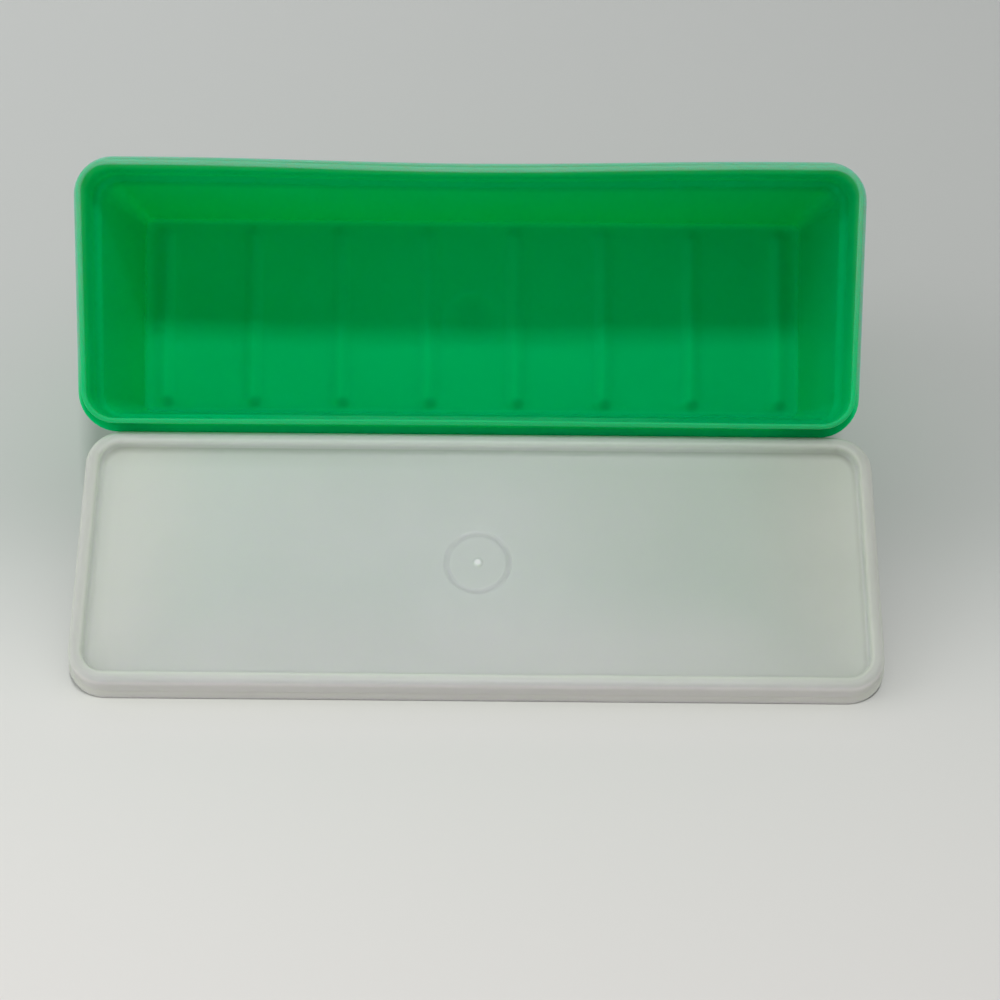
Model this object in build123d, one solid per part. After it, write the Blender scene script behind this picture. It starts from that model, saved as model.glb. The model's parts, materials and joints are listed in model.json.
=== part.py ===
from build123d import *
import math
import os

# A rectangular vegetable keeper of two loose mouldings: a deep green container and its press-on lid.
# It stands as it is shown: the container lies back on the lower long edge of its base, and the
# flange under its mouth rests on the upper edge of the lid, which leans in front of it.
# World frame: X along the length, Y away from the viewer, Z up, the floor at Z = 0. Millimetres.

# Container mouth, measured on the outside of the lip's free edge
lip_length = 305.2
lip_width = 103.2
lip_corner = 12.6

# Container depth and walls
depth = 112.0
wall = 2.0
base_wall = 2.2
collar_depth = 23.5
collar_draft = 1.5
wall_draft = 3.0
floor_fillet = 2.5
lip_round = 0.7

# Flange that runs round the collar
flange_reach = 3.0
flange_drop = 11.4
flange_thickness = 2.0
flange_round = 0.5

# Cross ribs pressed up into the floor, with hollows of the same shape under them
rib_count = 8
rib_margin = 9.0
rib_width = 9.0
rib_crest = 3.0
rib_height = 3.2
rib_end_gap = 0.3
rib_round = 1.0

# Gate ring, cut into the underside of the base and into the lid's panel
gate_ring_radius = 13.0
gate_ring_width = 1.8
gate_ring_depth = 0.4
gate_pip_radius = 1.5
gate_pip_height = 0.8

# Lid
lid_wall = 1.4
lid_height = 12.6
lid_fit = 0.2
skirt_draft = 2.0
bead_height = 1.6
bead_round = 0.4
panel_drop = 6.7
panel_draft = 3.0
rim_outer_round = 1.2
rim_inner_round = 0.9
panel_corner_round = 1.0

# How the two stand together
lid_lean = 25.4
rest_drop = 3.6
rest_gap = 0.3
side_shift = 4.4


def tangent(degrees):
    return math.tan(math.radians(degrees))


def drafted_block(length, width, corner, height, draft):
    """Block on Z = 0 with rounded upright corners, drawn in by the draft on its way up."""
    outline = RectangleRounded(length, width, corner)
    return extrude(outline, amount=height, taper=draft)


def bottom_edges(block):
    return block.edges().group_by(Axis.Z)[0]


def top_edges(block):
    return block.edges().group_by(Axis.Z)[-1]


def gate_ring(depth_of_cut):
    """Flat ring that lies on Z = 0, as deep as the cut that it makes."""
    outer = Circle(gate_ring_radius)
    inner = Circle(gate_ring_radius - gate_ring_width)
    return extrude(outer - inner, amount=depth_of_cut)


# The main walls start where the shoulder under the collar ends. These are their outer sizes there.
collar_run = collar_depth * tangent(collar_draft)
shoulder_length = lip_length - 2 * (collar_run + wall)
shoulder_width = lip_width - 2 * (collar_run + wall)
shoulder_corner = lip_corner - collar_run - wall

# Inside of the main walls at the floor, and outside of the base
slant_wall = wall / math.cos(math.radians(wall_draft))
main_run = (depth - collar_depth) * tangent(wall_draft)
floor_run = (depth - collar_depth - base_wall) * tangent(wall_draft)
floor_length = shoulder_length - 2 * (slant_wall + floor_run)
floor_width = shoulder_width - 2 * (slant_wall + floor_run)
rib_pitch = (floor_length - 2 * rib_margin) / (rib_count - 1)
base_width = shoulder_width - 2 * main_run
base_fillet = floor_fillet + wall
flange_length = lip_length + 2 * flange_reach
flange_width = lip_width + 2 * flange_reach


def rib():
    """One cross rib on Z = 0, sloped on all sides and rounded along its crest."""
    slope = math.degrees(math.atan2((rib_width - rib_crest) / 2, rib_height))
    length = floor_width - 2 * (floor_fillet + rib_end_gap)
    ridge = drafted_block(rib_width, length, rib_width / 2 - 0.05, rib_height, slope)
    return fillet(top_edges(ridge), rib_round)


def make_container():
    """Container, mouth down: Z is the distance from the lip's free edge towards the base."""
    collar_height = collar_depth + wall
    collar = drafted_block(lip_length, lip_width, lip_corner, collar_height, collar_draft)
    main = drafted_block(shoulder_length, shoulder_width, shoulder_corner,
                         depth - collar_depth, wall_draft)
    main = fillet(top_edges(main), base_fillet)
    outside = collar + Pos(0, 0, collar_depth) * main

    flange_outline = RectangleRounded(flange_length, flange_width, lip_corner + flange_reach)
    flange = extrude(flange_outline, amount=flange_thickness)
    flange = fillet(bottom_edges(flange) + top_edges(flange), flange_round)
    outside = outside + Pos(0, 0, flange_drop) * flange

    collar_space = drafted_block(lip_length - 2 * wall, lip_width - 2 * wall, lip_corner - wall,
                                 collar_depth, collar_draft)
    main_space = drafted_block(shoulder_length - 2 * slant_wall, shoulder_width - 2 * slant_wall,
                               shoulder_corner - slant_wall,
                               depth - collar_depth - base_wall, wall_draft)
    main_space = fillet(top_edges(main_space), floor_fillet)
    shell = outside - collar_space - Pos(0, 0, collar_depth) * main_space
    shell = fillet(bottom_edges(shell), lip_round)

    # The ribs stand on the floor towards the mouth, and their hollows follow one base wall behind
    turned_rib = Rot(180, 0, 0) * rib()
    for place in GridLocations(rib_pitch, 0, rib_count, 1):
        shell = shell + Pos(0, 0, depth - base_wall) * place * turned_rib
    for place in GridLocations(rib_pitch, 0, rib_count, 1):
        shell = shell - Pos(0, 0, depth) * place * turned_rib

    ring = Pos(0, 0, depth - gate_ring_depth) * gate_ring(gate_ring_depth)
    return shell - ring


def make_lid():
    """Lid with its top side up: Z = 0 is the free edge of its skirt."""
    reach = lid_fit + lid_wall
    skirt_run = lid_height * tangent(skirt_draft)
    foot_length = lip_length + 2 * (reach + skirt_run)
    foot_width = lip_width + 2 * (reach + skirt_run)
    foot_corner = lip_corner + reach + skirt_run
    outside = drafted_block(foot_length, foot_width, foot_corner, lid_height, skirt_draft)
    outside = fillet(top_edges(outside), rim_outer_round)
    bead_outline = RectangleRounded(flange_length, flange_width, lip_corner + flange_reach)
    bead = extrude(bead_outline, amount=bead_height)
    bead = fillet(bottom_edges(bead) + top_edges(bead), bead_round)
    outside = outside + bead

    # The groove takes the container's lip, with the fit on both of its faces
    groove_length = lip_length + 2 * lid_fit
    groove_width = lip_width + 2 * lid_fit
    groove_corner = lip_corner + lid_fit
    step_in = wall + 2 * lid_fit
    groove_depth = lid_height - lid_wall
    panel_under = lid_height - panel_drop - lid_wall
    groove_outer = RectangleRounded(groove_length, groove_width, groove_corner)
    groove_inner = RectangleRounded(groove_length - 2 * step_in, groove_width - 2 * step_in,
                                    groove_corner - step_in)
    groove = extrude(groove_outer - groove_inner, amount=groove_depth)
    underside = extrude(groove_outer, amount=panel_under)
    inset = step_in + lid_wall
    recess = drafted_block(groove_length - 2 * inset, groove_width - 2 * inset,
                           groove_corner - inset, panel_drop, panel_draft)
    recess = fillet(top_edges(recess), panel_corner_round)
    recess = Pos(0, 0, lid_height) * Rot(180, 0, 0) * recess
    body = outside - groove - underside - recess
    body = fillet(rim_inner_loop(body), rim_inner_round)

    panel_top = lid_height - panel_drop
    body = body - Pos(0, 0, panel_top - gate_ring_depth) * gate_ring(gate_ring_depth)
    pip = Pos(0, 0, panel_top) * extrude(Circle(gate_pip_radius), amount=gate_pip_height)
    return body + pip


def rim_inner_loop(body):
    """Edges of the recess where it meets the flat top of the rim."""
    rim_face = body.faces().group_by(Axis.Z)[-1][0]
    return rim_face.inner_wires()[0].edges()


def lid_rise(lean):
    """Height of the lid's own origin when the lower edge of its bead stands on the floor."""
    foot_y = -(flange_width / 2 - bead_round)
    foot_z = bead_round
    return bead_round - (foot_y * math.sin(lean) + foot_z * math.cos(lean))


def container_rise(tilt):
    """Height of the middle of the base when the lower edge of the base stands on the floor."""
    return base_fillet - (base_foot_y * math.sin(tilt) + base_fillet * math.cos(tilt))


# Centres of two rounded corners of the container, across its width and up from its base:
# the edge that it stands on, and the flange's lower front corner, which meets the lid.
base_foot_y = -(base_width / 2 - base_fillet * tangent(45 - wall_draft / 2))
flange_foot_y = -(flange_width / 2 - flange_round)
flange_foot_z = depth - flange_drop - flange_round

# The spot on the lid's upper skirt face that the flange rests on, a set drop below the rim's top
lean = math.radians(lid_lean)
rest_y = lip_width / 2 + lid_fit + lid_wall + rest_drop * tangent(skirt_draft)
rest_z = lid_height - rest_drop
rest_height = rest_y * math.sin(lean) + rest_z * math.cos(lean) + lid_rise(lean)
face_angle = lean + math.radians(skirt_draft)
corner_reach = flange_round + rest_gap

# The container tilts until the flange's corner is as high as that spot asks
arm_y = base_foot_y - flange_foot_y
arm_z = flange_foot_z - base_fillet
corner_height = rest_height + corner_reach * math.sin(face_angle)
arm_angle = math.acos((corner_height - base_fillet) / math.hypot(arm_y, arm_z))
tilt = arm_angle - math.atan2(arm_y, arm_z)

# The lid then stands as far forward as leaves the rest gap between them
corner_place = flange_foot_y * math.cos(tilt) - flange_foot_z * math.sin(tilt)
rest_place = rest_y * math.cos(lean) - rest_z * math.sin(lean)
lid_place = corner_place - corner_reach * math.cos(face_angle) - rest_place

upright_container = Pos(0, 0, depth) * Rot(180, 0, 0) * make_container()
container = Rot(math.degrees(tilt), 0, 0) * upright_container
container = Pos(-side_shift / 2, 0, container_rise(tilt)) * container
lid = Pos(side_shift / 2, lid_place, lid_rise(lean)) * Rot(lid_lean, 0, 0) * make_lid()

# The origin lies on the floor under the middle of the whole
middle_y = Compound([container, lid]).bounding_box().center().Y
container = Pos(0, -middle_y, 0) * container
lid = Pos(0, -middle_y, 0) * lid

os.makedirs("parts", exist_ok=True)
export_step(container, "parts/container.step")
export_step(lid, "parts/lid.step")

print("container tilt, degrees", math.degrees(tilt))
print("middle of the base", -side_shift / 2, -middle_y, container_rise(tilt))
print("lid origin", side_shift / 2, lid_place - middle_y, lid_rise(lean))
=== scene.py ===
import json
import math

import bmesh
import bpy
import numpy as np
from mathutils import Matrix, Vector


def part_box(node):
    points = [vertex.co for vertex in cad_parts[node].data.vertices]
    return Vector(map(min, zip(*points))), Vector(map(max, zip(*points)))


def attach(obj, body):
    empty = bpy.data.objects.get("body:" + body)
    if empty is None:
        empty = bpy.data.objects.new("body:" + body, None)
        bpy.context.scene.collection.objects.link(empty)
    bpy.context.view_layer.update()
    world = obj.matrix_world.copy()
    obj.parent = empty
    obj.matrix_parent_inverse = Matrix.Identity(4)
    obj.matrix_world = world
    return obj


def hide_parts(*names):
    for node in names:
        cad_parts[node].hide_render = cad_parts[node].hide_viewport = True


# A celery keeper of two loose polyethylene mouldings. The green container lies back on the lower
# long edge of its base, and the flange under its mouth rests on the upper edge of the milky lid.

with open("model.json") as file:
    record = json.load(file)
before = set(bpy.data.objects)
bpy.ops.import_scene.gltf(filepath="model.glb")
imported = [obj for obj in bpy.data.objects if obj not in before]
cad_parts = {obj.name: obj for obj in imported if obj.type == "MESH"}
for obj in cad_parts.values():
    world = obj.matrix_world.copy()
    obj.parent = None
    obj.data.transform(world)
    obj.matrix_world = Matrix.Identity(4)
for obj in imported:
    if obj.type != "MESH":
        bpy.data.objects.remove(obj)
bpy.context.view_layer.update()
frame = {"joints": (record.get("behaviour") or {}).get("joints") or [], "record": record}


# The container: one injection moulding of green low-density polyethylene. It has a lip, a flange
# round its collar, a step below the collar, drafted walls and a floor with eight hollow cross ribs.
# It tilts back until the slide of the lid, which runs along the mouth's axis, points at the viewer.
lift_axis = frame["joints"][0]["axis"]
container_tilt = math.atan2(-lift_axis[1], lift_axis[2])
base_mount = frame["record"]["mounts"][0]["pos_m"]
container_low, container_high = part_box("container")
container_middle = Vector(((container_low.x + container_high.x) / 2, base_mount[1], base_mount[2]))

# Sizes are in millimetres. The mouth's outline is a rectangle between four corner centres, grown
# by a reach. A reach of lip_corner is the outside of the lip, and offsets are counted from there.
MM = 0.001
straight_x = 140.0
straight_y = 39.0
lip_corner = 12.6
lip_half_length = straight_x + lip_corner
lip_half_width = straight_y + lip_corner

depth = 112.0
wall = 2.0
base_wall = 2.2
wall_draft = math.radians(3.0)
floor_fillet = 2.5
collar_draft = math.radians(1.5)
step_height = 88.5
step_below = 4.5
step_above = 2.5


def smooth(value, low, high):
    """0 up to low, 1 from high, and an even S between them."""
    t = np.clip((value - low) / (high - low), 0, 1)
    return t * t * (3 - 2 * t)


def band(distance, half_width, edge):
    """1 near zero distance and 0 far from it. The S between them is an edge wide, and its middle
    lies at half_width."""
    return 1 - smooth(np.abs(distance), half_width - edge / 2, half_width + edge / 2)


def soft_min(a, b, blend):
    """Smaller of two heights, with the crossing rounded over the blend."""
    near = np.maximum(blend - np.abs(a - b), 0)
    return np.minimum(a, b) - near * near / (4 * blend)


def spans(stops, longest):
    """Places along a line: each gap between two stops is cut into even parts of at most longest."""
    places = [np.linspace(a, b, max(1, math.ceil((b - a) / step - 1e-6)) + 1)[:-1]
              for a, b, step in zip(stops[:-1], stops[1:], longest)]
    return np.append(np.concatenate(places), stops[-1])


def rounded_path(corners, radii, longest, steps=5, support=0.3):
    """Points along a path of straight runs whose corners are rounded.

    An arc of radius r touches both runs at r tan(turn / 2) from the corner, and its points lie at
    even angles round its centre. Each run keeps a point a support's length from both its ends, so
    that the shading stays flat up to the arc, and is cut into parts of at most longest.
    """
    corners = np.array(corners, float)
    before = corners[1:-1] - corners[:-2]
    after = corners[2:] - corners[1:-1]
    before /= np.linalg.norm(before, axis=1)[:, None]
    after /= np.linalg.norm(after, axis=1)[:, None]
    turn = np.arctan2(before[:, 0] * after[:, 1] - before[:, 1] * after[:, 0],
                      (before * after).sum(1))
    radii = np.array(radii, float)
    side = np.stack([-before[:, 1], before[:, 0]], 1) * np.sign(turn)[:, None]
    start = corners[1:-1] - before * (radii * np.tan(np.abs(turn) / 2))[:, None]
    centre = start + side * radii[:, None]
    angle = np.linspace(0, 1, steps + 1)[None, :, None] * np.abs(turn)[:, None, None]
    arcs = (centre[:, None] - side[:, None] * radii[:, None, None] * np.cos(angle)
            + before[:, None] * radii[:, None, None] * np.sin(angle))
    ends = np.concatenate([corners[:1], arcs[:, -1]])
    starts = np.concatenate([arcs[:, 0], corners[-1:]])
    pieces = []
    for i, (a, b) in enumerate(zip(ends, starts)):
        length = np.linalg.norm(b - a)
        near = min(support, length / 3)
        along = spans([0, near, length - near, length], [near, longest[i], near])[:, None] / length
        run = a + (b - a) * along
        pieces.append(run if i == 0 else run[1:])
        if i < len(arcs):
            pieces.append(arcs[i][1:])
    return np.concatenate(pieces)


def outline(columns, rows, corner_steps):
    """Feet and outward directions of a closed outline, anticlockwise from its lower left.

    A foot lies on the rectangle between the corner centres. The direction is square to a straight
    side and turns evenly round a corner, so foot plus reach times direction is a rounded rectangle.
    """
    quarter = np.linspace(0, np.pi / 2, corner_steps + 1)[1:-1]
    feet, angles = [], []
    right, top = columns[-1], rows[-1]
    sides = [(columns, np.full_like(columns, -top), -np.pi / 2, (right, -top)),
             (np.full_like(rows, right), rows, 0.0, (right, top)),
             (columns[::-1], np.full_like(columns, top), np.pi / 2, (-right, top)),
             (np.full_like(rows, -right), rows[::-1], np.pi, (-right, -top))]
    for x, y, facing, corner in sides:
        feet += [np.stack([x, y], 1), np.tile(corner, (len(quarter), 1))]
        angles += [np.full(len(x), facing), facing + quarter]
    angles = np.concatenate(angles)
    return np.concatenate(feet), np.stack([np.cos(angles), np.sin(angles)], 1)


def grid_faces(columns, rows):
    """Quads of a grid whose points are numbered row by row within each column."""
    i = np.arange(columns - 1)[:, None] * rows + np.arange(rows - 1)[None]
    return np.stack([i, i + rows, i + rows + 1, i + 1], -1).reshape(-1, 4)


def new_piece(name, points, faces):
    """Smooth-shaded object at the origin, with a mesh of these points and faces."""
    mesh = bpy.data.meshes.new(name)
    mesh.from_pydata(points.tolist(), [], faces.tolist())
    mesh.shade_smooth()
    piece = bpy.data.objects.new(name, mesh)
    bpy.context.scene.collection.objects.link(piece)
    return piece


def shell_piece(name, columns, rows, corner_steps, path, shape, place):
    """Closed shell of a rounded box: a profile carried round an outline, with two middles.

    The path holds (offset, height) from the middle of the upper side, over the rim, to the middle
    of the underside. Both ends have no reach, and a grid of columns by rows fills the rectangle
    that is left there. shape(x, y, z, top) moves the points, in millimetres, and tells how pale
    each is from wear and painted light, and its painted light and shade, a factor on its colour.
    place puts them into the world.
    """
    feet, facing = outline(columns, rows, corner_steps)
    reach = lip_corner + path[:, 0]
    around = len(feet)
    ring_xy = feet[None] + reach[:, None, None] * facing[None]
    ring_z = np.repeat(path[:, 1][:, None], around, 1)
    crest = np.argmax(path[:, 1])
    ring_top = np.repeat((np.arange(len(path)) <= crest)[:, None], around, 1)
    grid_x, grid_y = np.meshgrid(columns, rows, indexing="ij")
    x = np.concatenate([ring_xy[..., 0].ravel(), grid_x.ravel(), grid_x.ravel()])
    y = np.concatenate([ring_xy[..., 1].ravel(), grid_y.ravel(), grid_y.ravel()])
    z = np.concatenate([ring_z.ravel(), np.full(grid_x.size, path[0, 1]),
                        np.full(grid_x.size, path[-1, 1])])
    top = np.concatenate([ring_top.ravel(), np.full(grid_x.size, True),
                          np.full(grid_x.size, False)])
    x, y, z, wear_and_painted_light, painted_light_and_shade = shape(x, y, z, top)

    rings = np.arange(len(path) - 1)[:, None] * around
    places = np.arange(around)[None]
    here = rings + places
    ahead = rings + (places + 1) % around
    sides = np.stack([here, here + around, ahead + around, ahead], -1).reshape(-1, 4)
    middle = grid_faces(len(columns), len(rows)) + len(path) * around
    under = middle[:, ::-1] + grid_x.size

    piece = new_piece(name, np.stack([x, y, z], 1) * MM, np.concatenate([sides, middle, under]))
    mesh = piece.data
    mesh.transform(place)
    # Two colour attributes: paleness from wear and painted light, and a factor of painted light and
    # shade.
    for label, values in (("wear_and_painted_light", wear_and_painted_light), ("painted_light_and_shade", painted_light_and_shade)):
        layer = mesh.attributes.new(label, "FLOAT", "POINT")
        layer.data.foreach_set("value", values.astype("f4"))
    work = bmesh.new()
    work.from_mesh(mesh)
    bmesh.ops.remove_doubles(work, verts=work.verts, dist=0.002 * MM)
    work.to_mesh(mesh)
    work.free()
    return piece


def wall_offset(height, outside):
    """Offset of the main wall at a height: its offset under the step, less the draft below it."""
    at_step = -(depth - step_height) * math.tan(collar_draft) - wall
    inset = 0 if outside else wall / math.cos(wall_draft)
    return at_step - inset - (step_height - height) * math.tan(wall_draft)


def collar_offset(height):
    """Offset of the collar's outside at a height: its draft below the lip."""
    return -(depth - height) * math.tan(collar_draft)


# The ribs share the floor's length evenly between two margins, and end just inside its fillet.
rib_count = 8
rib_margin = 9.0
rib_end_gap = 0.3
rib_half_width = 4.5
rib_height = 2.0
rib_crest = 2.0
rib_crest_blend = 1.6
rib_foot_blend = 1.0
floor_offset = wall_offset(base_wall, False)
rib_pitch = 2 * (lip_half_length + floor_offset - rib_margin) / (rib_count - 1)
rib_places = (np.arange(rib_count) - (rib_count - 1) / 2) * rib_pitch
rib_half_length = lip_half_width + floor_offset - floor_fillet - rib_end_gap
gate_ring_radius = 12.1
gate_ring_half = 0.9
gate_ring_edge = 0.7
gate_ring_depth = 0.4
gate_ring_trace = 0.05


def rib_distance(x):
    """Distance to the middle line of the nearest rib."""
    return np.abs(x[..., None] - rib_places).min(-1)


def rib_relief(x, y):
    """Height of the ribs over the floor.

    The depth inside a rib's oval foot, times its slope, cut off softly at the crest and at the
    floor. The foot is all points within half a width of the line that joins the centres of its
    two round ends.
    """
    along = rib_distance(x)
    beyond = np.maximum(np.abs(y) - (rib_half_length - rib_half_width), 0)
    inside = rib_half_width - np.hypot(along, beyond)
    slope = rib_height / (rib_half_width - rib_crest / 2)
    height = soft_min(inside * slope, np.full_like(inside, rib_height), rib_crest_blend)
    return -soft_min(-height, np.zeros_like(height), rib_foot_blend)


def reach_and_end(x, y):
    """Reach of each point, and how far it belongs to an end wall.

    The second is 0 along a long wall and 1 along an end. Round a corner it is the square of the
    outward direction's part along X.
    """
    out_x = np.maximum(np.abs(x) - straight_x, 0)
    out_y = np.maximum(np.abs(y) - straight_y, 0)
    reach = np.hypot(out_x, out_y)
    return reach, out_x ** 2 / (reach ** 2 + 0.01)


def container_wear_and_painted_light(x, y, z, top):
    """Paleness from wear and painted light, and a factor of painted light and shade, for the
    container.

    The flange is pale except along the lower side, and the lip's edge most along the upper side:
    wear, and a painted sheen on the edges. The factor is painted light that rises towards the
    floor, less on the ends than on the long walls, and stands for light that passes through the
    wall and fills the corners. It also rises as painted light inside the mouth, in the lower side's
    collar, on the outside of the lower side, and towards the lower corner of the right-hand end.
    Painted shade falls in a band below the step, where it is thick and the flange shades it, in
    spots at the lower ends of the ribs, and evenly towards the right; the colour is also a little
    darker at the lip and at the gate. On the lower side the step's edge has a painted highlight
    instead, up to its right-hand quarter.
    """
    reach, end = reach_and_end(x, y)
    collar_foot = 88.0
    floor_painted_level = 0.97
    lip = smooth(z, depth - 1.4, depth - 0.4)
    collar = smooth(z, collar_foot, 98.0)
    upper = smooth(y, -45.0, 45.0)
    # Pale flange and lip edge: wear, and a painted sheen.
    wear_and_painted_light = np.maximum(lip * (1 - 0.3 * end) * (0.1 + 0.6 * upper),
                        smooth(reach - lip_corner, 0.6, 2.4) * smooth(y, -48.0, -20.0))

    # Painted light and shade on the walls: lighter towards the floor, in the collar, inside the
    # mouth and on the outside of the lower side; the ends darker.
    towards_floor = np.clip(1 - z / collar_foot, 0, 0.85)
    outer = (1 - smooth(z, 104.0, 109.0)) * (1 - smooth(np.abs(x), 110.0, 140.0))
    long_wall = 0.93 + 0.27 * towards_floor + np.where(
        y > 0, top * 0.15 * smooth(z, 98.0, 110.0), np.where(top, 0.12 * collar, 0.5 * outer))
    end_wall = (0.83 + 0.12 * towards_floor + 0.06 * collar + 0.14 * smooth(z, 99.0, 110.0)
                ) * (1 + 0.05 * x / 150 + (x > 0) * 0.004 * np.clip(-y, -10.0, 40.0))
    painted_light_and_shade = (1 - end) * long_wall + end * end_wall

    lower_side = (y < 0) * (1 - end)
    # Painted shade in a band below the step, darker at the lip, and near the floor the floor's
    # painted level.
    painted_light_and_shade = painted_light_and_shade * (1 - 0.16 * (1 - end - top * lower_side) * band(z - 84.5, 5.0, 6.0))
    painted_light_and_shade = painted_light_and_shade * (1 - 0.25 * lip)
    painted_light_and_shade = floor_painted_level + (painted_light_and_shade - floor_painted_level) * smooth(reach, 1.0, 4.0)
    # Painted shade: evenly darker towards the right, dark spots at the lower ends of the ribs, and
    # a little darker at the gate.
    rib_end_shade_spot = np.hypot(rib_distance(x - 1.2) / 1.4, np.maximum(np.abs(y + 37.4) - 0.6, 0))
    painted_light_and_shade = painted_light_and_shade * (0.99 - 0.075 * x / 125) * (1 - top * 0.24 * band(rib_end_shade_spot, 1.6, 2.8))
    painted_light_and_shade = painted_light_and_shade * (1 - top * 0.06 * band(np.hypot(x, y), 7.0, 8.0))

    # Painted highlight: the step's edge on the lower side, lighter and paler.
    step_painted_highlight = top * lower_side * smooth(z, 50.0, 75.0) * (1 - smooth(z, 87.0, 91.0))
    painted_light_and_shade = painted_light_and_shade * (1 + 0.22 * step_painted_highlight * (1 - smooth(x, 60.0, 85.0)))
    wear_and_painted_light = np.maximum(wear_and_painted_light, 0.1 * step_painted_highlight * band(x, 70.0, 60.0))
    return wear_and_painted_light, painted_light_and_shade


# The give of the soft moulding at its mouth: how far its walls stray from their drafted planes.
upper_wall_bow = 2.0
upper_wall_spread = 0.35
bow_half_length = 125.0
left_lean = 2.0
right_lean = 1.85


def container_shape(x, y, z, top):
    """Ribs and gate ring, then the give of a soft moulding.

    The upper wall bows in by the square of a cosine of its length, and spreads near its ends. The
    lower wall bows a little, from its step up and at the lip. The end walls lean outwards at the
    top and inwards at the foot. The upper bow and the lean grow with the height over the base, to
    the power of one and a half.
    """
    wear_and_painted_light, painted_light_and_shade = container_wear_and_painted_light(x, y, z, top)
    reach, _ = reach_and_end(x, y)
    floor = (z < base_wall + 0.01) & (reach < 2.0)
    ring = band(np.hypot(x, y) - gate_ring_radius, gate_ring_half, gate_ring_edge)
    ring_relief = np.where(top, gate_ring_trace, gate_ring_depth) * ring
    z = z + np.where(floor, rib_relief(x, y) + ring_relief, 0)

    high = np.clip(z / depth, 0, 1.05) ** 1.5
    middle = np.cos(np.clip(x / bow_half_length, -1, 1) * np.pi / 2) ** 2
    upper_bow = (upper_wall_bow * middle - upper_wall_spread - 0.1 * x / 124) * high
    lower_bow = 0.35 * smooth(z, 60.0, 98.0) + 0.45 * middle * smooth(z, 101.0, 110.0)
    y = y - np.where(y > 0, upper_bow, lower_bow) * np.clip(y / 50, -1, 1)
    lean = (np.where(x > 0, right_lean, left_lean) * y / lip_half_width
            + np.where(x > 0, 0.36, 0.11))
    x = x + x / lip_half_length * lean * high
    return x, y, z, wear_and_painted_light, painted_light_and_shade


# Sizes of the profile. The step is a square shoulder outside and a soft slope inside.
flange_offset = 3.0
flange_drop = 11.4
flange_thickness = 2.0
flange_top = depth - flange_drop
flange_foot = flange_top - flange_thickness
flange_round = 0.6
flange_root = 0.35
lip_round = 0.7
step_round = 12.0
shoulder_root = 0.4
shoulder_round = 0.8
slope_foot = step_height - step_below
slope_top = step_height + step_above
shoulder = step_height - wall
container_path = rounded_path(
    [(-lip_corner, base_wall),
     (floor_offset, base_wall),
     (wall_offset(slope_foot, False), slope_foot),
     (collar_offset(slope_top) - wall, slope_top),
     (-wall, depth),
     (0, depth),
     (collar_offset(flange_top), flange_top),
     (flange_offset, flange_top),
     (flange_offset, flange_foot),
     (collar_offset(flange_foot), flange_foot),
     (collar_offset(shoulder), shoulder),
     (wall_offset(shoulder, True), shoulder),
     (wall_offset(0, True), 0),
     (-lip_corner, 0)],
    [floor_fillet, step_round, step_round, lip_round, lip_round, flange_root, flange_round,
     flange_round, flange_root, shoulder_root, shoulder_round, floor_fillet + wall],
    [0.45] + [9] * 11 + [0.45])

# Columns are close together across each rib and across the gate ring, which lies in the gap
# between the two middle ribs, and rows at the ribs' ends and across the ring.
fine = 0.75
ring_rows = 13.5
rib_end_rows = 31.0
rib_stops = np.sort(np.concatenate([rib_places - rib_half_width, rib_places + rib_half_width,
                                    [-straight_x, straight_x]]))
rib_steps = np.where(np.arange(len(rib_stops) - 1) % 2, fine, 5.0)
rib_steps[len(rib_steps) // 2] = fine
container_columns = spans(rib_stops, rib_steps)
container_rows = spans([-straight_y, -rib_end_rows, -ring_rows, ring_rows, rib_end_rows,
                        straight_y], [0.7, 4.0, fine, 4.0, 0.7])
container_place = (Matrix.Translation(container_middle)
                   @ Matrix.Rotation(container_tilt, 4, "X"))
container = shell_piece("container_shell", container_columns, container_rows, 10,
                        container_path, container_shape, container_place)


def linear(code):
    """Linear colour of an sRGB hex code: each channel undone by the sRGB curve."""
    channel = np.array([int(code[i:i + 2], 16) / 255 for i in (1, 3, 5)])
    value = np.where(channel <= 0.04045, channel / 12.92, ((channel + 0.055) / 1.055) ** 2.4)
    return (*value.tolist(), 1.0)


def node(tree, kind, settings=None, links=None):
    """Adds a node, sets its attributes and sockets by name, and links its inputs."""
    made = tree.nodes.new(kind)
    for key, value in (settings or {}).items():
        if isinstance(key, str) and hasattr(made, key):
            setattr(made, key, value)
        else:
            made.inputs[key].default_value = value
    for key, source in (links or {}).items():
        tree.links.new(source, made.inputs[key])
    return made


# Low-density polyethylene, moulded against satin steel. Light enters the wall and glows out of it,
# and the highlight is broad and weak. Its colour clouds about every 40 mm, and its skin ripples
# about every 17 mm, where it shrank. The real grain is finer than 0.1 mm, too fine to show, so it
# is drawn at 0.7 mm. Where it is worn, and where light or a sheen is painted, it turns paler, in
# patches as large as the clouds. Its colour is also scaled by painted light and shade.
cloud_size = 40.0
ripple_size = 16.667
grain_size = 0.7143
ripple_height = 0.2
grain_height = 0.06


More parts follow.
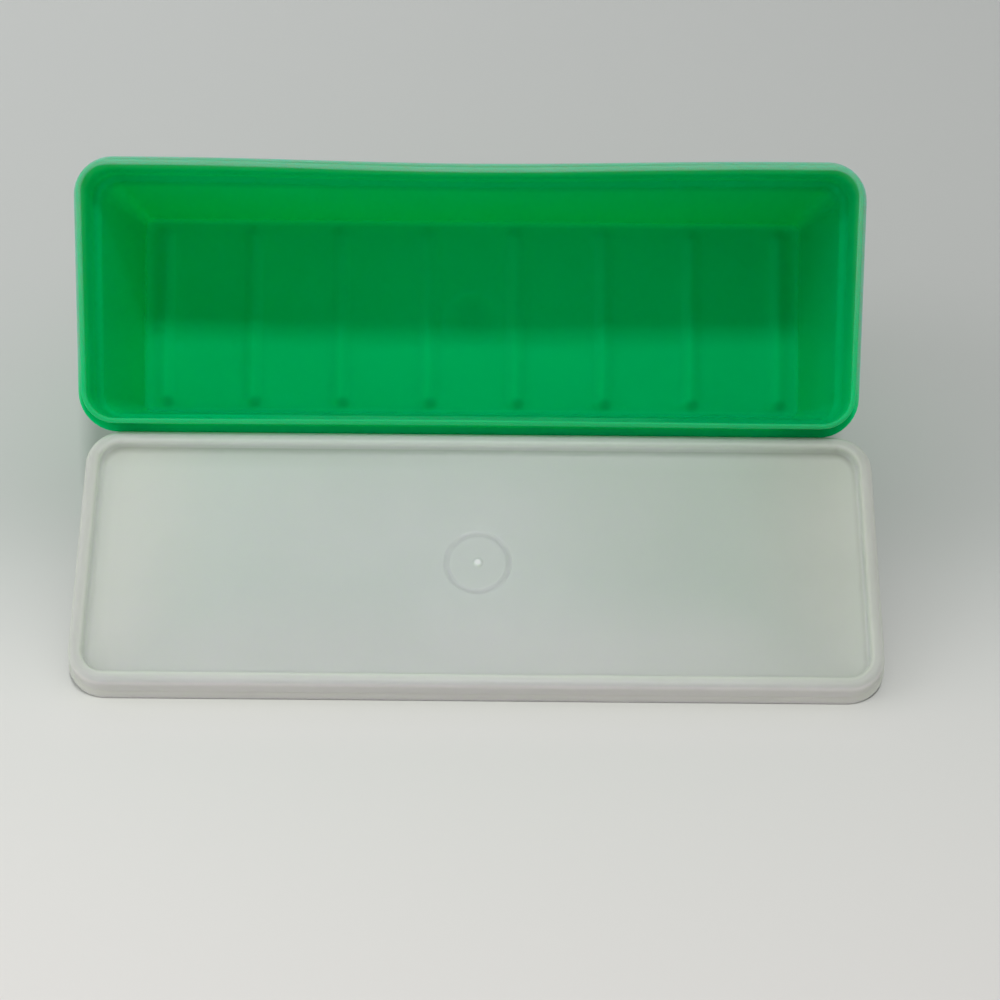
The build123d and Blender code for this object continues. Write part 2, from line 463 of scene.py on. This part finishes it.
def moulded_polyethylene(name, colours, wear_and_light_colour, gloss_tint, roughness, light_colour,
                         light_depth):
    """Satin polyethylene of two clouded colours, times the painted light and shade, mixed with the
    pale colour of wear and painted light.

    light_depth is how far light spreads in the wall, in millimetres, and light_colour its share of
    that for red, green and blue. A noise of scale 1 / size repeats about every size. A Mix node's
    colours are its inputs 6 and 7 and its output 2.
    """
    material = bpy.data.materials.new(name)
    material.use_nodes = True
    tree = material.node_tree
    tree.nodes.clear()
    place = node(tree, "ShaderNodeTexCoord").outputs["Object"]
    cloud = node(tree, "ShaderNodeTexNoise",
                 {"Scale": 1 / (cloud_size * MM), "Detail": 3.0, "Roughness": 0.5},
                 {"Vector": place})
    tint = node(tree, "ShaderNodeMix", {"data_type": "RGBA", 6: linear(colours[0]),
                                        7: linear(colours[1])}, {0: cloud.outputs["Fac"]})
    # Painted light and shade scale the colour here.
    painted_light_and_shade = node(tree, "ShaderNodeAttribute", {"attribute_name": "painted_light_and_shade"})
    body = node(tree, "ShaderNodeVectorMath", {"operation": "SCALE"},
                {0: tint.outputs[2], "Scale": painted_light_and_shade.outputs["Fac"]})
    wear_and_painted_light = node(tree, "ShaderNodeAttribute", {"attribute_name": "wear_and_painted_light"})
    patches = node(tree, "ShaderNodeMapRange", {"From Min": 0.2, "From Max": 0.7, "To Min": 0.8},
                   {"Value": cloud.outputs["Fac"]})
    amount = node(tree, "ShaderNodeMath", {"operation": "MULTIPLY"},
                  {0: wear_and_painted_light.outputs["Fac"], 1: patches.outputs["Result"]})
    colour = node(tree, "ShaderNodeMix", {"data_type": "RGBA", 7: linear(wear_and_light_colour)},
                  {0: amount.outputs["Value"], 6: body.outputs["Vector"]})
    ripple = node(tree, "ShaderNodeTexNoise", {"Scale": 1 / (ripple_size * MM), "Detail": 2.0},
                  {"Vector": place})
    grain = node(tree, "ShaderNodeTexNoise", {"Scale": 1 / (grain_size * MM), "Detail": 2.0},
                 {"Vector": place})
    rippled = node(tree, "ShaderNodeBump", {"Strength": 0.15, "Distance": ripple_height * MM},
                   {"Height": ripple.outputs["Fac"]})
    grained = node(tree, "ShaderNodeBump", {"Strength": 0.1, "Distance": grain_height * MM},
                   {"Height": grain.outputs["Fac"], "Normal": rippled.outputs["Normal"]})
    rough = node(tree, "ShaderNodeMapRange",
                 {"To Min": roughness - 0.04, "To Max": roughness + 0.06},
                 {"Value": cloud.outputs["Fac"]})
    shader = node(tree, "ShaderNodeBsdfPrincipled",
                  {"IOR": 1.51, "Specular IOR Level": 0.2, "Specular Tint": linear(gloss_tint),
                   "Subsurface Weight": 1.0, "Subsurface Scale": light_depth * MM,
                   "Subsurface Radius": light_colour},
                  {"Base Color": colour.outputs[2], "Roughness": rough.outputs["Result"],
                   "Normal": grained.outputs["Normal"]})
    node(tree, "ShaderNodeOutputMaterial", None, {"Surface": shader.outputs["BSDF"]})
    return material


container.data.materials.append(moulded_polyethylene(
    "green_polyethylene_moulded", colours=("#00B86C", "#00C274"), wear_and_light_colour="#8AA896",
    gloss_tint="#00C070", roughness=0.34, light_colour=(0.05, 1.0, 0.74), light_depth=9.0))
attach(container, "container")
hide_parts("container")


# The lid: a press-on seal moulded of natural, milky low-density polyethylene. A raised rim runs
# round a recessed panel, a groove under the rim takes the container's lip, and a bead stiffens
# the skirt's free edge. It leans with its upper side towards the viewer.
lid_lean = math.radians(25.4)
lid_height = 12.6
lid_wall = 1.4
lid_fit = 0.2
panel_drop = 6.7
panel_height = lid_height - panel_drop
panel_draft = math.radians(3.0)
skirt_draft = math.radians(2.0)
flare_top = 5.0
bead_offset = flange_offset
flare_round = 3.0
bead_height = 0.9
bead_round = 0.4
rim_inner_round = 1.5
rim_outer_round = 2.6
panel_foot_round = 2.0
hidden_round = 0.3
pip_radius = 1.5
pip_height = 0.8
lid_ring_depth = 0.25
wave_height = 0.35
wave_length = 31.0
wave_width = 24.0
wave_end_x = 147.0
wave_end_y = 46.0

# The lid stands on the round of its bead's lower edge, and the round of the upper edge reaches
# furthest back. The centres of both lie bead_half from the lid's middle line.
bead_half = lip_half_width + bead_offset - bead_round
lid_low, lid_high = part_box("lid")
lid_middle = Vector((
    (lid_low.x + lid_high.x) / 2,
    lid_high.y - (bead_half * math.cos(lid_lean) - bead_round * math.sin(lid_lean)
                  + bead_round) * MM,
    (bead_half * math.sin(lid_lean) - bead_round * math.cos(lid_lean) + bead_round) * MM))


def skirt_offset(height):
    """Offset of the skirt's outside at a height: the fit and the lid's wall, plus the draft."""
    return lid_fit + lid_wall + (lid_height - height) * math.tan(skirt_draft)


groove_inner = -(wall + lid_fit)
groove_top = lid_height - lid_wall
recess_top = groove_inner - lid_wall
recess_foot = recess_top - panel_drop * math.tan(panel_draft)
panel_under = panel_height - lid_wall
lid_path = rounded_path(
    [(-lip_corner, panel_height),
     (recess_foot, panel_height),
     (recess_top, lid_height),
     (skirt_offset(lid_height), lid_height),
     (skirt_offset(flare_top), flare_top),
     (bead_offset, bead_height),
     (bead_offset, 0),
     (lid_fit, 0),
     (lid_fit, groove_top),
     (groove_inner, groove_top),
     (groove_inner, panel_under),
     (-lip_corner, panel_under)],
    [panel_foot_round, rim_inner_round, rim_outer_round, flare_round, hidden_round, bead_round]
    + [hidden_round] * 4, [9] * 11)


def lid_wear_and_painted_light(x, y, z, top):
    """Paleness from wear and painted light, and a factor of painted light and shade, for the lid.

    The skirt, the rim's crest, the recess's wall and its foot, the lower edge of the panel and its
    ends are pale: wear, and painted light on walls that the lamp leaves in shade. The factor is
    painted shade that falls towards the right-hand end and close to both ends. The crest, the wall
    and the foot have painted light and shade of their own, and each list of four numbers gives a
    value for the upper side, the lower side, the left-hand end and the right-hand end. The panel is
    a little paler round the gate pip, and the pip is palest. The factor stops where the colour
    nears white.
    """
    reach, end = reach_and_end(x, y)
    upper_side = (1 - end) * smooth(y, -20.0, 20.0)
    sides = np.stack([upper_side, 1 - end - upper_side, end * (x < 0), end * (x > 0)], -1)
    foot_reach = lip_corner + recess_foot
    top_reach = lip_corner + recess_top
    skirt = smooth(reach, lip_corner - 0.2, lip_corner + 1.2)
    rim = smooth(reach, foot_reach - 1.5, top_reach + 0.5)
    crest = rim * np.maximum(smooth(z, lid_height - 3.5, lid_height - 0.5), skirt)
    foot = top * (1 - smooth(z, 7.5, 9.5)) * band(reach - foot_reach + 0.7, 2.5, 4.0)
    wall_start = 7.4 - 1.3 * end
    recess_wall = (top * smooth(z, wall_start, wall_start + 1.4) * (1 - smooth(z, 10.6, 12.0))
                   * (reach < top_reach + 0.2))
    far_end = smooth(np.abs(x), 90.0, 150.0)
    # Paleness: wear, and painted light in the shaded recess and on the skirt.
    wear_and_painted_light = np.maximum.reduce([
        crest * (sides @ [0.05, 0.45, 0.5, 0.5]),
        skirt * (sides @ [0.5, 1.0, 0.6, 0.6]),
        np.maximum(foot, recess_wall) * (sides @ [0, 0.4, 0.5, 0.5]),
        0.3 * smooth(-y, 5.0, 42.0),
        np.where(x < 0, 0.55, 0.45) * far_end])

    brightest = 1.45
    # Painted shade: darker towards the right-hand end, as under light from the left, and near both
    # ends.
    right_painted_shade = 0.3 * smooth(x, -30.0, 170.0)
    end_painted_shade = np.where(x < 0, 0.09, 0.16) * smooth(np.abs(x), 95.0, 140.0)
    painted_shade_fall = (right_painted_shade + end_painted_shade) * (1 + 0.25 * np.clip(y / 40, -1, 0))
    # Painted shade along the foot of the upper recess on the left, painted light towards the right.
    upper_foot_painted_shade = upper_side * (0.2 * smooth(x, -110.0, 110.0) - 0.13)
    away = np.hypot(x, y)
    # Painted light and shade of the crest, the foot and the recess's wall, and paler round the gate
    # pip.
    painted_light_and_shade = ((1.02 - painted_shade_fall) * (1 + crest * (sides @ [0.01, -0.08, -0.26, -0.07]))
            * (1 + foot * (upper_foot_painted_shade + sides @ [0, 0.03, 0.15, 0.1]))
            * (1 + recess_wall * (sides @ [0.6, 0, 0.6, 1.0]))
            * (1 + 0.04 * band(away, 30.0, 70.0) + 0.35 * band(away, 1.2, 1.0)))
    return wear_and_painted_light, np.minimum(painted_light_and_shade, brightest)


def lid_shape(x, y, z, top):
    """Gate ring, gate pip and the slow waves of a panel that has cooled unevenly.

    The waves are a sine along the length times a cosine across the width, which drifts with the
    length, and they fade out towards the panel's edges.
    """
    wear_and_painted_light, painted_light_and_shade = lid_wear_and_painted_light(x, y, z, top)
    reach, _ = reach_and_end(x, y)
    away = np.hypot(x, y)
    ring = band(away - gate_ring_radius, gate_ring_half, gate_ring_edge)
    pip = band(away, pip_radius, 0.9)
    panel = (z < panel_height + 0.01) & (reach < lip_corner + recess_foot - 2.1)
    fade = (np.clip((wave_end_x - np.abs(x)) / 25, 0, 1)
            * np.clip((wave_end_y - np.abs(y)) / 18, 0, 1))
    wave = wave_height * np.sin(x / wave_length + 0.6) * np.cos(y / wave_width + x / 90) * fade
    marks = np.where(top, pip_height * pip - lid_ring_depth * ring, 0)
    z = z + np.where(panel, wave + marks, 0)
    return x, y, z, wear_and_painted_light, painted_light_and_shade


# Columns and rows are close together across the gate ring.
ring_grid = 13.6
lid_columns = spans([-straight_x, -ring_grid, ring_grid, straight_x], [6.0, 0.45, 6.0])
lid_rows = spans([-straight_y, -ring_grid, ring_grid, straight_y], [4.0, 0.45, 4.0])
lid_place = Matrix.Translation(lid_middle) @ Matrix.Rotation(lid_lean, 4, "X")
lid = shell_piece("lid_shell", lid_columns, lid_rows, 14, lid_path, lid_shape, lid_place)
lid.data.materials.append(moulded_polyethylene(
    "natural_polyethylene_moulded", colours=("#C1D4C3", "#C9DACA"), wear_and_light_colour="#DCDCD2",
    gloss_tint="#FFFFFF", roughness=0.36, light_colour=(0.9, 1.0, 0.8), light_depth=8.0))
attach(lid, "lid")
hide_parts("lid")


# The table and the wall behind it: one board of pale matt paint, bent up in a wide curve. Its
# colour carries painted shade: warm white in front, greyest behind the lid and paler again further
# back, and a little darker on the right, as under light from the left. Its sizes are in metres,
# and so are the places of its colours along Y.
board_front = -3.0
board_back = 1.0
board_top = 2.6
board_bend = 0.5
board_half_width = 4.0
board_profile = rounded_path([(board_front, 0.0), (board_back, 0.0), (board_back, board_top)],
                             [board_bend], [0.2, 0.2], steps=24, support=0.1)
board_columns = np.linspace(-board_half_width, board_half_width, 25)
grid_x, grid_y = np.meshgrid(board_columns, board_profile[:, 0], indexing="ij")
grid_z = np.tile(board_profile[:, 1], (len(board_columns), 1))
table = new_piece("table_top", np.stack([grid_x, grid_y, grid_z], -1).reshape(-1, 3),
                  grid_faces(len(board_columns), len(board_profile)))

board_painted_shade_colours = {-0.3: "#E1DEDC", -0.12: "#DDDEDB", -0.04: "#CCCECC", 0.02: "#BFC1BF",
                 0.5: "#CDCFCE"}
colours_start = -0.4
colours_end = 0.6
paint = bpy.data.materials.new("pale_board_with_painted_shade")
paint.use_nodes = True
tree = paint.node_tree
tree.nodes.clear()
place = node(tree, "ShaderNodeSeparateXYZ", None,
             {"Vector": node(tree, "ShaderNodeTexCoord").outputs["Object"]})
along = node(tree, "ShaderNodeMapRange", {"From Min": colours_start, "From Max": colours_end},
             {"Value": place.outputs["Y"]})
shade = node(tree, "ShaderNodeValToRGB", None, {"Fac": along.outputs["Result"]})
ramp = shade.color_ramp
ramp.interpolation = "B_SPLINE"
for y, code in board_painted_shade_colours.items():
    position = (y - colours_start) / (colours_end - colours_start)
    ramp.elements.new(position).color = linear(code)
ramp.elements.remove(ramp.elements[0])
ramp.elements.remove(ramp.elements[-1])
# Painted shade: the board darker towards the right.
side = node(tree, "ShaderNodeMapRange", {"From Min": -0.3, "From Max": 0.3, "To Min": 1.05,
                                         "To Max": 0.92}, {"Value": place.outputs["X"]})
board_colour_with_painted_shade = node(tree, "ShaderNodeVectorMath", {"operation": "SCALE"},
                    {0: shade.outputs["Color"], "Scale": side.outputs["Result"]})
board = node(tree, "ShaderNodeBsdfPrincipled", {"Roughness": 0.6, "Specular IOR Level": 0.2},
             {"Base Color": board_colour_with_painted_shade.outputs["Vector"]})
node(tree, "ShaderNodeOutputMaterial", None, {"Surface": board.outputs["BSDF"]})
table.data.materials.append(paint)


# Light: a room's pale walls, a small lamp high in front of the box and a wide window at the left.
# The lamp is about 29 degrees above the mouth's axis, so the edge of the upper wall's shadow lies
# half way up the floor. The window lights the left side of the table and the lid.
world = bpy.data.worlds.new("pale_room")
bpy.context.scene.world = world
world.use_nodes = True
tree = world.node_tree
tree.nodes.clear()
room = node(tree, "ShaderNodeBackground", {"Color": linear("#F4F4F2"), "Strength": 0.57})
node(tree, "ShaderNodeOutputWorld", None, {"Surface": room.outputs["Background"]})


def area_lamp(name, place, size, power):
    """Square lamp that faces the middle of the object."""
    lamp = bpy.data.lights.new(name, "AREA")
    lamp.shape = "SQUARE"
    lamp.size = size
    lamp.energy = power
    holder = bpy.data.objects.new(name, lamp)
    holder.location = place
    facing = Vector((0, 0, 0.05)) - Vector(place)
    holder.rotation_euler = facing.to_track_quat("-Z", "Y").to_euler()
    bpy.context.scene.collection.objects.link(holder)


lamp_height = math.radians(69)
lamp_distance = 2.4
area_lamp("ceiling_lamp", (0.1, -lamp_distance * math.cos(lamp_height),
                           lamp_distance * math.sin(lamp_height)), size=0.2, power=21)
area_lamp("window", (-1.4, -0.5, 0.95), size=1.3, power=6.4)


# The photograph's view: a long lens in front of the object and above it, which looks down into the
# mouth, nearly along its axis, and is turned a little off level.
camera_place = Matrix.Translation((0.00928, -0.71928, 0.59637))
yaw = math.radians(0.116)
pitch = math.radians(39.442)
roll = math.radians(0.584)
camera_data = bpy.data.cameras.new("view")
camera_data.sensor_width = 36.0
camera_data.lens = 80.38
camera_data.clip_start = 0.01
camera_data.clip_end = 50.0
camera = bpy.data.objects.new("view", camera_data)
ahead = Vector((math.sin(yaw) * math.cos(pitch), math.cos(yaw) * math.cos(pitch), -math.sin(pitch)))
level = Vector((math.cos(yaw), -math.sin(yaw), 0))
upward = level.cross(ahead)
camera_x = level * math.cos(roll) + upward * math.sin(roll)
camera_y = -level * math.sin(roll) + upward * math.cos(roll)
camera.matrix_world = camera_place @ Matrix((camera_x, camera_y, -ahead)).transposed().to_4x4()
bpy.context.scene.collection.objects.link(camera)
bpy.context.scene.camera = camera
bpy.context.scene.view_settings.view_transform = "Standard"
